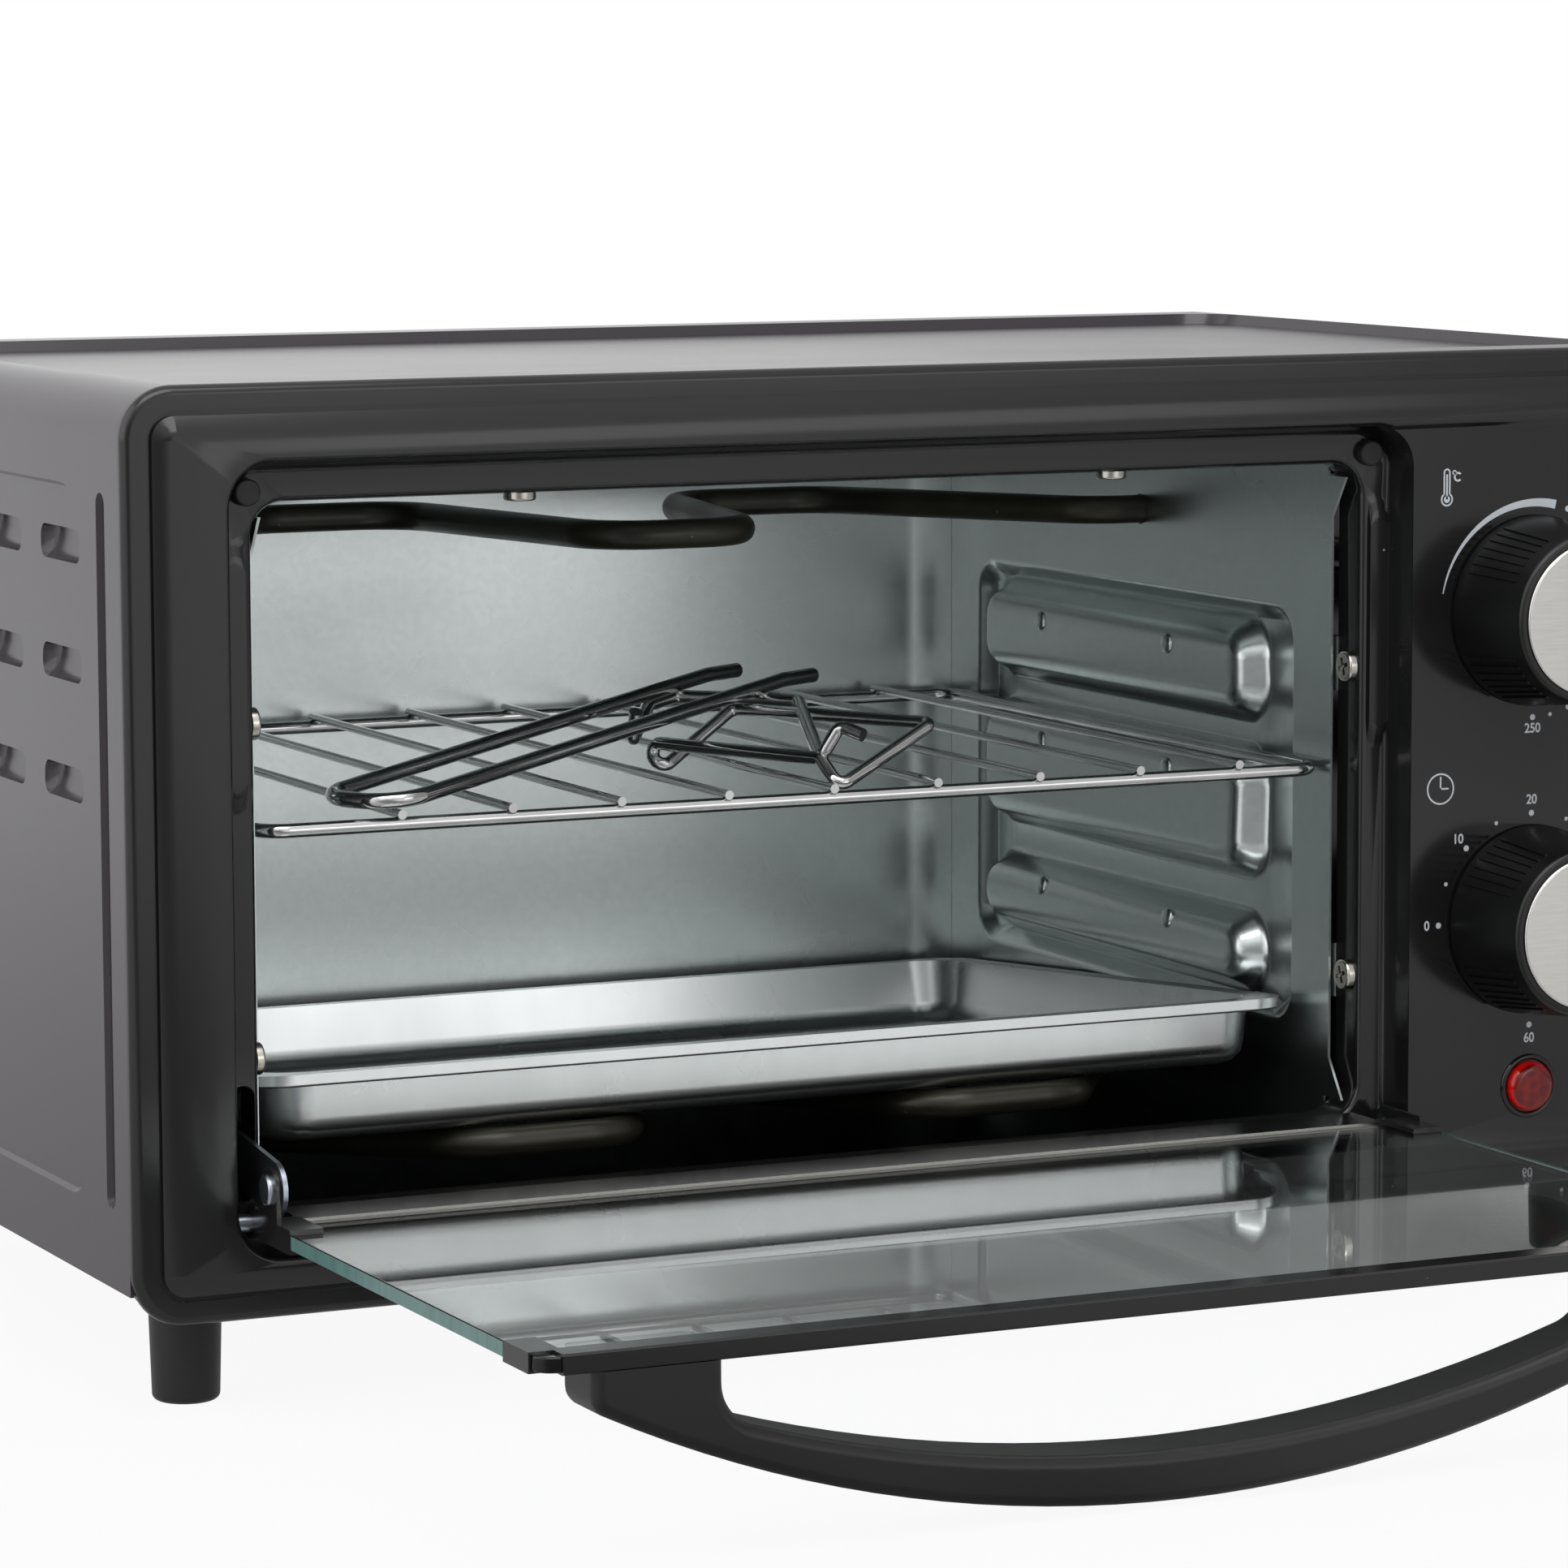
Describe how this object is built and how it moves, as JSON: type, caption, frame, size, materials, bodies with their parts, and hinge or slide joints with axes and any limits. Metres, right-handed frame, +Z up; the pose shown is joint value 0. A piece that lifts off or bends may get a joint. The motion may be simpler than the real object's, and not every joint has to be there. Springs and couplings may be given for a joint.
{
  "type": "toaster oven",
  "caption": "Countertop toaster oven with a fold-down glass door, bow handle, rotary controls, wire rack, baking tray and tray lifter.",
  "frame": {"origin": "centre of the bounding box at table level, door folded down", "axes": "+X to the right seen from the front, +Y to the back, +Z up"},
  "size_m": [0.37, 0.363, 0.21],
  "materials": {
    "cover_paint": "black powder coat",
    "panel_paint": "gloss black paint",
    "black_sheet": "black sheet",
    "galvanised": "galvanised sheet",
    "element_sheath": "matt grey sheath",
    "ceramic": "white ceramic",
    "terminal_brass": "bright blade",
    "foot_plastic": "black plastic",
    "screw_steel": "zinc-plated screws",
    "bumper_rubber": "black rubber",
    "zinc_plate": "zinc plate",
    "black_plastic": "black plastic",
    "indicator_red": "clear red lens",
    "door_glass": "clear tempered glass",
    "door_trim": "black trim",
    "knob_plastic": "black knob",
    "cap_silver": "spun silver cap",
    "shaft_steel": "turned shaft",
    "rack_chrome": "chromed wire",
    "tray_metal": "dull bare pan"
  },
  "bodies": {
    "oven": {"outer_cover": "cover_paint", "front_panel": "panel_paint", "back_panel": "black_sheet", "base_plate": "black_sheet", "cavity_left_wall": "galvanised", "cavity_right_wall": "galvanised", "cavity_back_wall": "galvanised", "cavity_ceiling": "galvanised", "upper_element": "element_sheath", "lower_element": "element_sheath", "element_bushes": "ceramic", "lamp_socket": "ceramic", "element_terminals": "terminal_brass", "foot_front_left": "foot_plastic", "foot_front_right": "foot_plastic", "foot_rear_left": "foot_plastic", "foot_rear_right": "foot_plastic", "foot_screws": "screw_steel", "frame_screws": "screw_steel", "ceiling_screws": "screw_steel", "door_bumpers": "bumper_rubber", "hinge_brackets": "zinc_plate", "timer_bell": "zinc_plate", "thermostat_switch": "zinc_plate", "cord_gland": "black_plastic", "timer_case": "black_plastic", "indicator_lens": "indicator_red"},
    "door": {"door_glass": "door_glass", "hinge_channel": "door_trim", "front_channel": "door_trim", "corner_clips": "door_trim", "hinge_arm_left": "door_trim", "hinge_arm_right": "door_trim", "hinge_pins": "zinc_plate", "link_rivet": "zinc_plate", "handle": "black_plastic", "handle_screws": "screw_steel"},
    "link": {"door_link": "zinc_plate"},
    "thermostat_control": {"thermostat_knob": "knob_plastic", "thermostat_cap": "cap_silver", "thermostat_shaft": "shaft_steel"},
    "timer_control": {"timer_knob": "knob_plastic", "timer_cap": "cap_silver", "timer_shaft": "shaft_steel"},
    "rack": {"wire_rack": "rack_chrome"},
    "tray": {"baking_tray": "tray_metal"},
    "lifter": {"tray_lifter": "rack_chrome"}
  },
  "joints": [
    {"name": "door_hinge", "type": "hinge", "parent": "oven", "child": "door", "pos_m": [-0.026, -0.0295, 0.0395], "axis": [-1, 0, 0], "range_deg": [0, 90]},
    {"name": "link_pivot", "type": "hinge", "parent": "door", "child": "link", "pos_m": [-0.158, -0.0415, 0.0485], "axis": [-1, 0, 0], "range_deg": [-90, 0]},
    {"name": "thermostat_turn", "type": "hinge", "parent": "oven", "child": "thermostat_control", "pos_m": [0.1423, -0.0335, 0.1522], "axis": [0, 1, 0], "range_deg": [0, 270]},
    {"name": "timer_turn", "type": "hinge", "parent": "oven", "child": "timer_control", "pos_m": [0.1423, -0.0335, 0.0832], "axis": [0, 1, 0], "range_deg": [0, 270]},
    {"name": "rack_slide", "type": "slide", "parent": "oven", "child": "rack", "axis": [0, 1, 0], "range_m": [-0.14, 0]},
    {"name": "tray_slide", "type": "slide", "parent": "oven", "child": "tray", "axis": [0, 0.9968, -0.0802], "range_m": [-0.14, 0]},
    {"name": "lifter_lift", "type": "slide", "parent": "rack", "child": "lifter", "axis": [0, 0, 1], "range_m": [0, 0.025]}
  ],
  "couplings": [
    {"joint": "link_pivot", "follows": "door_hinge", "ratio": -1}
  ]
}
